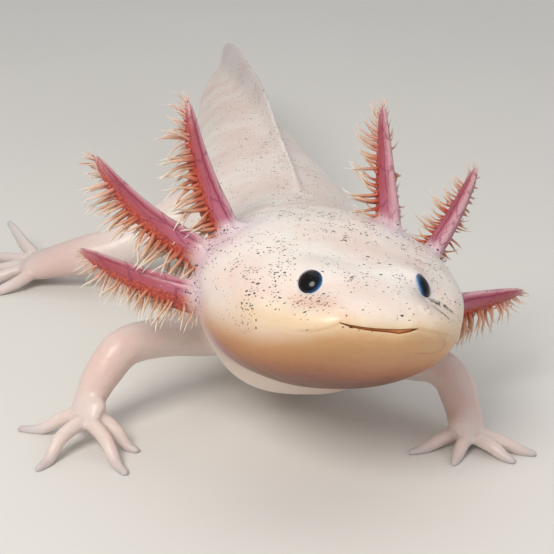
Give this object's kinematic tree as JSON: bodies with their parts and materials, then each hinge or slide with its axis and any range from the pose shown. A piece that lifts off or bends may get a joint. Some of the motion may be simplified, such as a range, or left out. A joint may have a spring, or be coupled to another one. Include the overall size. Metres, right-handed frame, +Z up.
{
  "type": "axolotl",
  "caption": "Life-size still model of a leucistic axolotl standing on its feet, head raised, with feathery red gills and a finned tail.",
  "frame": {"origin": "on the floor plane the four feet rest on, under the centre of the bounding box", "axes": "+Z up, the head looks towards -Y and the tail runs towards +Y, +X is the animal's left side"},
  "size_m": [0.0962, 0.2024, 0.0507],
  "materials": {
    "skin": "moist, smooth and slightly translucent skin",
    "fin_skin": "thin moist translucent skin",
    "gill_skin": "moist translucent rose red",
    "eye": "glossy, near black"
  },
  "bodies": {
    "root": {"head": "skin", "lower_jaw": "skin", "eye_right": "eye", "eye_left": "eye", "neck": "skin", "chest": "skin", "belly": "skin", "pelvis": "skin", "tail_root": "skin", "tail_middle": "skin", "tail_end": "skin", "dorsal_fin_back": "fin_skin", "dorsal_fin_tail": "fin_skin", "ventral_fin_tail": "fin_skin", "arm_upper_right": "skin", "arm_lower_right": "skin", "hand_right": "skin", "arm_upper_left": "skin", "arm_lower_left": "skin", "hand_left": "skin", "leg_upper_right": "skin", "leg_lower_right": "skin", "foot_right": "skin", "leg_upper_left": "skin", "leg_lower_left": "skin", "foot_left": "skin", "gill_right_upper": "gill_skin", "gill_right_middle": "gill_skin", "gill_right_lower": "gill_skin", "gill_left_upper": "gill_skin", "gill_left_middle": "gill_skin", "gill_left_lower": "gill_skin"}
  },
  "joints": []
}
